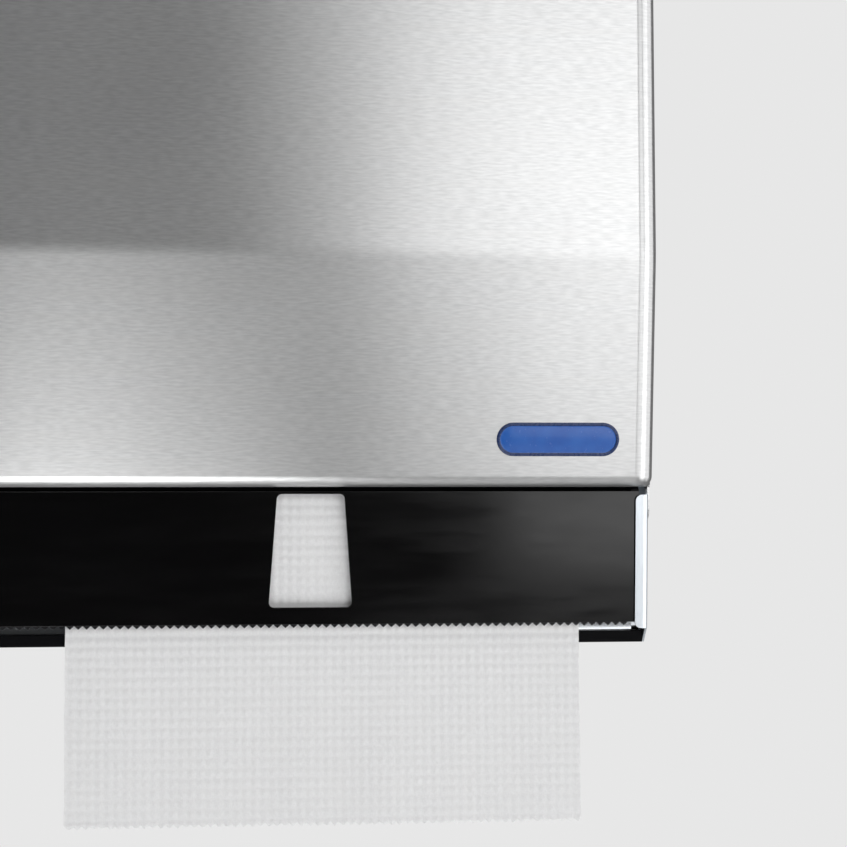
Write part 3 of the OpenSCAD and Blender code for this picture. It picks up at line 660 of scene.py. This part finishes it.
def badge():
    """A domed enamel face inside a raised rim."""
    points, faces = [], []
    for inset, height in BADGE_LAYERS:
        for x, z in stadium(BADGE_L - 2 * inset, BADGE_W - 2 * inset):
            points.append((x, -height, z))
    count = len(points) // len(BADGE_LAYERS)
    last = len(points) - count
    for layer in range(0, last, count):
        for i in range(count):
            a = layer + i
            b = layer + (i + 1) % count
            faces.append([a, b, b + count, a + count])
    faces.append([last + i for i in range(count)])
    faces.append(list(range(count))[::-1])
    piece = new_piece("badge_plate", points, faces, SURFACES["badge_blue"])
    piece.data.materials.append(BADGE_RIM.material)
    for face in piece.data.polygons:
        if face.index < BADGE_RIM_LAYERS * count:
            face.material_index = 1
    weld(piece, 0.001)
    crease = Vector((0, FRONT_Y, CREASE_Z)) * MM
    down = Vector((BADGE_X, 0, (BADGE_RISE - CREASE_RISE) / math.cos(LEAN))) * MM
    turn = Matrix.Rotation(LEAN, 4, "X")
    piece.data.transform(Matrix.Translation(crease) @ turn @ Matrix.Translation(down))
    apply_modifiers(piece, 40)
    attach(piece, "cover")
    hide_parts("badge")


# ---------- the towel ----------

# Where the towel leaves the roll: radius of its front face there, and the angles above the roll's
# axis, in degrees, through which it still lies on the roll
WOUND_R = ROLL_R + 0.45
WOUND_ANGLES = range(18, -1, -3)

# Corners of the towel at the rollers, from the nip: (y, z)
NIP_CORNERS = [(-0.6, 12), (0, 3), (0, -3)]

# Corners below the rollers: height, and distance behind the web line
WEB_CORNERS = [
    (-142, 0), (-152, -0.9), (TIP_Z + 6, 0), (TIP_Z, -0.1), (TIP_Z - 12, 0.1), (TIP_Z - 40, -0.3),
    (SHEET_END_Z, -1.6),
]
SMOOTHING = 3

# Distance from one row of points to the next, and number of points across
SHEET_STEP = 0.65
SHEET_COLUMNS = 362

# Lengths above the torn end in which the towel hangs free, and in which the tear shapes it
FREE_LENGTH = 80
TORN_LENGTH = 3

# Height of a tooth's mark, and how far the torn end is raised to keep its tips at the towel's end
TOOTH_MARK = 1.3
TORN_RAISE = 1.4


def web_line(z):
    """Y of the towel's front face: parallel to the nose, and straight down below its teeth."""
    rise = max(z, TIP_Z) - NOSE_BOTTOM_Z
    return NOSE_BOTTOM_Y - rise * math.tan(NOSE_LEAN) + WEB_BEHIND


def towel_path():
    """Y and Z of the towel's front face, about every millimetre, from the roll to its torn end."""
    corners = []
    for angle in WOUND_ANGLES:
        turn = math.radians(angle)
        corners.append((ROLL_Y - WOUND_R * math.cos(turn), ROLL_Z + WOUND_R * math.sin(turn)))
    corners += [(NIP_Y + y, NIP_Z + z) for y, z in NIP_CORNERS]
    corners += [(web_line(z) + behind, z) for z, behind in WEB_CORNERS]
    dense = []
    for (y0, z0), (y1, z1) in zip(corners, corners[1:]):
        steps = max(1, round(math.hypot(y1 - y0, z1 - z0)))
        for i in range(steps):
            dense.append(Vector((y0 + (y1 - y0) * i / steps, z0 + (z1 - z0) * i / steps)))
    dense.append(Vector(corners[-1]))
    for _ in range(SMOOTHING):
        inner = [(a + 2 * b + c) / 4 for a, b, c in zip(dense, dense[1:], dense[2:])]
        dense = dense[:1] + inner + dense[-1:]
    return dense


def path_length(path):
    """Length of a path that is given by its points."""
    return sum((b - a).length for a, b in zip(path, path[1:]))


def along_path(path, step):
    """Points, unit normals and distances walked, evenly spaced along a path."""
    total = path_length(path)
    count = round(total / step)
    spaced = []
    walked, index = 0.0, 0
    for i in range(count + 1):
        target = total * i / count
        while index < len(path) - 2 and walked + (path[index + 1] - path[index]).length < target:
            walked += (path[index + 1] - path[index]).length
            index += 1
        a, b = path[index], path[index + 1]
        way = (b - a).normalized()
        spaced.append((a + way * (target - walked), Vector((-way.y, way.x)) * -1, target))
    return spaced


def emboss(x, along):
    """Height of the paper's pillows, from -1 to 1, with flattened tops and bottoms."""
    across = math.cos(2 * math.pi * x / EMBOSS_X)
    down = math.cos(2 * math.pi * along / EMBOSS_Z)
    pillow = 0.40 * across + 0.60 * down + 0.35 * across * down
    return max(-0.7, min(0.85, pillow))


def waver(size, a, b, seed):
    """A smooth random shift of up to about size at a place."""
    return size * noise.noise(Vector((a, b, seed)))


def torn_edge(x):
    """How far the torn end hangs at x: the marks of the teeth, a little ragged."""
    phase = (x / TOOTH_PITCH + 0.5) % 1
    tooth = TOOTH_MARK * (1 - abs(2 * phase - 1))
    return tooth + waver(0.35, x * 0.9, 7.3, 0) + waver(0.2, x * 3.1, 1.7, 0)


def towel_sheet():
    """The towel from the roll to its torn end: embossed, wavy where it hangs free, uneven at its edges."""
    path = towel_path()
    length = path_length(path)
    spaced = along_path(path, SHEET_STEP)
    points, uvs = [], []
    for place, normal, walked in spaced:
        left = length - walked
        end = smooth_step(1 - left / TORN_LENGTH)
        free = smooth_step(1 - left / FREE_LENGTH)
        for column in range(SHEET_COLUMNS):
            across = column / (SHEET_COLUMNS - 1)
            x = TOWEL_X + TOWEL_W * (across - 0.5)
            height = EMBOSS_H * emboss(x + waver(0.3, x * 0.02, walked * 0.02, 3), walked)
            wave = waver(1.3, x * 0.014, walked * 0.012, 11) + waver(0.5, x * 0.05, walked * 0.01, 5)
            edge = waver(0.18, walked * 0.11, across * 9, 2) * (2 * across - 1)
            y = place.x + normal.x * height + free * wave
            z = place.y + normal.y * height - end * (torn_edge(x) - TORN_RAISE)
            points.append((x + edge, y, z))
            uvs.append((x * MM, walked * MM))
    faces = grid_faces(len(spaced), SHEET_COLUMNS)
    piece = new_piece("towel_web", points, faces, SURFACES["towel_paper"], uvs)
    modify(piece, "SOLIDIFY", thickness=PAPER_T * MM, offset=-1)
    apply_modifiers(piece, 70)
    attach(piece, "cabinet")
    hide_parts("towel_sheet")


# ---------- the roll ----------

# Steps round the roll, and steps along it
ROLL_STEPS = 640
ROLL_COLUMNS = 220

# Windings that show on the roll's ends: how many, the deepest they stand in, and how far below the
# surface the last one is
WINDINGS = 60
WINDING_IN = 0.45
LAST_WINDING = 0.8

# Rounded edge of the roll: a point of it (distance in from the end, distance below the surface),
# and the distance in from the end where it meets the surface
ROLL_EDGE = (0.5, 0.25)
ROLL_EDGE_L = 1.6

# How far the roll's emboss is sunk, so that its pillows stand only a little proud of the CAD roll
EMBOSS_SUNK = 0.05


def lathe(name, profile, centre, surface, steps):
    """A solid turned round an axis along X: profile is (x, radius) round the section, in order."""
    points, faces = [], []
    for i in range(steps):
        turn = 2 * math.pi * i / steps
        for x, radius in profile:
            points.append((x, centre[0] + radius * math.cos(turn), centre[1] + radius * math.sin(turn)))
    count = len(profile)
    for i in range(steps):
        for j in range(count):
            a = i * count + j
            b = i * count + (j + 1) % count
            c = ((i + 1) % steps) * count + (j + 1) % count
            d = ((i + 1) % steps) * count + j
            faces.append([a, b, c, d])
    piece = new_piece(name, points, faces, surface)
    weld(piece, 0.001)
    shape = bmesh.new()
    shape.from_mesh(piece.data)
    bmesh.ops.recalc_face_normals(shape, faces=shape.faces)
    shape.to_mesh(piece.data)
    shape.free()
    apply_modifiers(piece, 40)
    return piece


def roll_profile():
    """Section of the roll: its windings show as fine steps on both ends."""
    left = TOWEL_X - TOWEL_W / 2
    right = TOWEL_X + TOWEL_W / 2
    edge_in, edge_down = ROLL_EDGE
    rng = random.Random(4)
    wound = ROLL_R - LAST_WINDING - CORE_R
    rings = [CORE_R + wound * i / WINDINGS for i in range(WINDINGS + 1)]
    depths = [rng.uniform(0.0, WINDING_IN) for _ in rings]
    profile = [(left + depth, radius) for radius, depth in zip(rings, depths)]
    profile.append((left + edge_in, ROLL_R - edge_down))
    for i in range(ROLL_COLUMNS + 1):
        along = ROLL_EDGE_L + (TOWEL_W - 2 * ROLL_EDGE_L) * i / ROLL_COLUMNS
        profile.append((left + along, ROLL_R))
    profile.append((right - edge_in, ROLL_R - edge_down))
    return profile + [(right - depth, radius) for radius, depth in zip(rings[::-1], depths[::-1])]


def emboss_roll(piece):
    """Moves the points of the roll's outer surface in and out."""
    rows = round(2 * math.pi * ROLL_R / EMBOSS_Z)
    for vert in piece.data.vertices:
        y, z = vert.co.y / MM - ROLL_Y, vert.co.z / MM - ROLL_Z
        radius = math.hypot(y, z)
        if radius > ROLL_R - 0.1:
            along = math.atan2(z, y) / (2 * math.pi) * rows * EMBOSS_Z
            out = ROLL_EMBOSS_H * emboss(vert.co.x / MM, along) - EMBOSS_SUNK
            scale = 1 + out / radius
            vert.co.y = (ROLL_Y + y * scale) * MM
            vert.co.z = (ROLL_Z + z * scale) * MM


def towel_roll():
    piece = lathe("towel_roll_wound", roll_profile(), (ROLL_Y, ROLL_Z), SURFACES["towel_paper"], ROLL_STEPS)
    piece.data.materials.append(ROLL_ENDS.material)
    for face in piece.data.polygons:
        if abs(face.normal.x) > 0.5:
            face.material_index = 1
    emboss_roll(piece)
    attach(piece, "roll")
    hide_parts("towel_roll")


# ---------- CAD nodes with softened edges ----------

# Width of the rounded edges
DEFAULT_BEVEL = 0.12
BEVELS = {
    "nose_panel": 0.35, "chute_lip": 0.3, "tear_bar": 0.06, "tie_bar": 0.15, "lock_keeper": 0.15,
    "arm_bracket_left": 0.15, "arm_bracket_right": 0.15, "bracket_rivets": 0.4,
    "roll_arm_left": 0.4, "roll_arm_right": 0.4, "roll_hub_left": 0.4, "roll_hub_right": 0.4,
    "arm_spring_left": 0.1, "arm_spring_right": 0.1, "pinch_springs": 0.1,
    "feed_tyres": 0.5, "feed_drum": 0.25, "feed_bushes": 0.25,
    "pinch_roller": 0.5, "pinch_frame": 0.25,
    "lock_body": 0.35, "lock_nut": 0.3, "lock_plug": 0.15, "lock_cam": 0.2,
}

# Angle in degrees from which an edge is rounded; the nose's joggle has bends of 40 degrees
SHARP = 35
OWN_SHARP = {"nose_panel": 45}


def joggle(shape):
    """Sets the top of the nose back by a straight bend that starts just below the cover."""
    for i in range(JOGGLE_STEPS + 1):
        z = JOGGLE_Z + JOGGLE_H * i / JOGGLE_STEPS
        parts = list(shape.verts) + list(shape.edges) + list(shape.faces)
        bmesh.ops.bisect_plane(shape, geom=parts, plane_co=(0, 0, z * MM), plane_no=(0, 0, 1))
    for vert in shape.verts:
        share = (vert.co.z / MM - JOGGLE_Z) / JOGGLE_H
        vert.co.y += JOGGLE_BACK * MM * min(1.0, max(0.0, share))


def refine(node):
    """A copy of a CAD node with its flat faces joined and its edges rounded."""
    source = frame["nodes"][node]
    slot_name = SLOTS[node]
    piece = bpy.data.objects.new(node + "_detailed", source.data.copy())
    bpy.context.scene.collection.objects.link(piece)
    piece.data.materials.clear()
    piece.data.materials.append(OWN_SURFACES.get(node, SURFACES[slot_name]).material)
    for face in piece.data.polygons:
        face.material_index = 0
    shape = bmesh.new()
    shape.from_mesh(piece.data)
    bmesh.ops.remove_doubles(shape, verts=shape.verts, dist=0.002 * MM)
    bmesh.ops.dissolve_limit(shape, angle_limit=math.radians(0.6), verts=shape.verts, edges=shape.edges)
    if node == "nose_panel":
        joggle(shape)
    shape.to_mesh(piece.data)
    shape.free()
    modify(piece, "BEVEL", width=BEVELS.get(node, DEFAULT_BEVEL) * MM, segments=2, limit_method="ANGLE",
           angle_limit=math.radians(OWN_SHARP.get(node, SHARP)), use_clamp_overlap=True)
    piece.data.shade_smooth()
    modify(piece, "WEIGHTED_NORMAL", weight=100, keep_sharp=False)
    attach(piece, BODIES[node])
    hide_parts(node)


# ---------- stage, light and camera ----------

FLOOR_Z = -2300
FLOOR_R = 4000

# Greys of the floor and the background as the camera sees them
FLOOR_GREYS = (0.70, 0.74)
BACKGROUND_GREY = 0.80

# Surroundings as light: place from straight ahead of the dispenser (0) to behind it (1), and grey
AROUND_STOPS = [(0.10, 0.03), (0.70, 0.22)]

# Softboxes stand this far, in metres, from the middle of the cover's lower half
BOX_DISTANCE = 1.9
BOX_TARGET = Vector((0, FRONT_Y, -80)) * MM

# Camera of the photograph: place, angles in degrees, lens and sensor in millimetres
CAMERA_PLACE = (-48.07, -1021.8, -161.06)
CAMERA_YAW = 6.45
CAMERA_PITCH = 3.28
CAMERA_ROLL = -0.23
CAMERA_LENS = 89.47
CAMERA_SENSOR = 36


def floor():
    """A wide pale floor far below the dispenser, which hangs on a wall.

    The camera sees it glow evenly, so that it is as pale from above as from the side.
    """
    points = [(x, y, FLOOR_Z) for x, y in circle(FLOOR_R, 96)]
    pale = Surface("stage", "floor", Roughness=0.8)
    cloud = pale.noise((0.8, 0.8, 0.8), 3.0)
    pale.to("Base Color", pale.mix(cloud, grey(0.78), grey(0.82)))
    darker, lighter = FLOOR_GREYS
    glow = pale.add("ShaderNodeEmission", {"Color": pale.mix(cloud, grey(darker), grey(lighter))})
    seen = pale.add("ShaderNodeLightPath").outputs["Is Camera Ray"]
    mixed = pale.add("ShaderNodeMixShader", {0: seen, 1: pale.shader.outputs[0], 2: glow.outputs[0]})
    pale.tree.links.new(mixed.outputs[0], pale.tree.nodes["Material Output"].inputs["Surface"])
    piece = new_piece("floor", points, [list(range(len(points)))], pale)


def direction(azimuth, elevation):
    """Unit vector seen from the dispenser: azimuth 0 is straight ahead of it, 90 to the right."""
    a, e = math.radians(azimuth), math.radians(elevation)
    return Vector((math.sin(a) * math.cos(e), -math.cos(a) * math.cos(e), math.sin(e)))


def softbox(name, azimuths, elevations, radiance):
    """A flat area light that fills a range of azimuth and elevation as the cover sees it."""
    azimuth = sum(azimuths) / 2
    elevation = sum(elevations) / 2
    across = math.cos(math.radians(elevation))
    width = 2 * BOX_DISTANCE * across * math.tan(math.radians(azimuths[1] - azimuths[0]) / 2)
    height = 2 * BOX_DISTANCE * math.tan(math.radians(elevations[1] - elevations[0]) / 2)
    light = bpy.data.lights.new(name, "AREA")
    light.shape = "RECTANGLE"
    light.size = width
    light.size_y = height
    light.energy = radiance * math.pi * width * height
    lamp = bpy.data.objects.new(name, light)
    bpy.context.scene.collection.objects.link(lamp)
    out = direction(azimuth, elevation)
    lamp.location = BOX_TARGET + out * BOX_DISTANCE
    lamp.rotation_mode = "QUATERNION"
    lamp.rotation_quaternion = out.to_track_quat("Z", "Y")
    lamp.visible_camera = False


def lights():
    """Softboxes, each with its azimuths, elevations and brightness."""
    # The right of the cover is bright and its left is dark
    softbox("right_panel", (11, 27), (-12.4, 26), 2.1)
    softbox("far_right_panel", (30, 50), (-18, 22), 1.8)
    softbox("right_side_panel", (52, 80), (-36, 24), 1.9)
    softbox("side_panel", (80, 110), (-30, 40), 1.1)
    softbox("middle_panel", (6, 11), (-6, 26), 1.9)
    softbox("inner_panel", (2, 5.5), (4, 30), 0.85)
    softbox("upper_left_panel", (-60, 2), (26, 55), 0.25)
    # The lower front and the bottom edge lean back, so they show what is below
    softbox("low_middle_panel", (-11, 4), (-62, -25), 2.9)
    softbox("low_left_panel", (-14, -5), (-64, -25), 3.6)
    softbox("far_low_left_panel", (-48, -14), (-64, -25), 1.5)
    softbox("lower_right_panel", (6.5, 32), (-26, -16), 1.0)
    softbox("low_right_panel", (12, 50), (-70, -28), 0.3)
    # Left side, top and back
    softbox("left_side_panel", (-115, -65), (-30, 40), 0.9)
    softbox("overhead", (-60, 60), (62, 90), 2.0)
    softbox("rear_panel", (140, 220), (30, 70), 1.3)


def world():
    """A pale background for the camera, and dimmer, softly graded surroundings for light."""
    scene = bpy.context.scene
    if scene.world is None:
        scene.world = bpy.data.worlds.new("world")
    scene.world.use_nodes = True
    tree = scene.world.node_tree
    tree.nodes.clear()
    way = add_node(tree, "ShaderNodeTexCoord").outputs["Generated"]
    rearward = add_node(tree, "ShaderNodeSeparateXYZ", {0: way}).outputs["Y"]
    lift = add_node(tree, "ShaderNodeMapRange", {"Value": rearward, "From Min": -1, "From Max": 1})
    ramp = add_node(tree, "ShaderNodeValToRGB", {"Fac": lift.outputs["Result"]})
    for stop, (place, shade) in zip(ramp.color_ramp.elements, AROUND_STOPS):
        stop.position = place
        stop.color = grey(shade)
    around = add_node(tree, "ShaderNodeBackground", {"Color": ramp.outputs["Color"]})
    pale = add_node(tree, "ShaderNodeBackground", {"Color": grey(BACKGROUND_GREY)})
    seen = add_node(tree, "ShaderNodeLightPath").outputs["Is Camera Ray"]
    mixer = add_node(tree, "ShaderNodeMixShader", {0: seen, 1: around.outputs[0], 2: pale.outputs[0]})
    add_node(tree, "ShaderNodeOutputWorld", {"Surface": mixer.outputs[0]})


def camera():
    """The photograph's camera, below the dispenser and to its left."""
    yaw, pitch, roll = (math.radians(angle) for angle in (CAMERA_YAW, CAMERA_PITCH, CAMERA_ROLL))
    ahead = Vector((math.sin(yaw) * math.cos(pitch), math.cos(yaw) * math.cos(pitch), math.sin(pitch)))
    level = Vector((math.cos(yaw), -math.sin(yaw), 0))
    upright = level.cross(ahead)
    right = math.cos(roll) * level + math.sin(roll) * upright
    up = -math.sin(roll) * level + math.cos(roll) * upright
    lens = bpy.data.cameras.new("camera")
    lens.sensor_width = CAMERA_SENSOR
    lens.lens = CAMERA_LENS
    seat = bpy.data.objects.new("camera", lens)
    turn = Matrix((right, up, -ahead)).transposed().to_4x4()
    seat.matrix_world = Matrix.Translation(Vector(CAMERA_PLACE) * MM) @ turn
    bpy.context.scene.collection.objects.link(seat)
    bpy.context.scene.camera = seat


# ---------- the scene ----------

cover()
badge()
towel_roll()
towel_sheet()
REMADE = ["cover", "badge", "towel_roll", "towel_sheet"]
for node in frame["nodes"]:
    if node not in REMADE:
        refine(node)
world()
floor()
lights()
camera()
bpy.context.scene.view_settings.view_transform = "Standard"
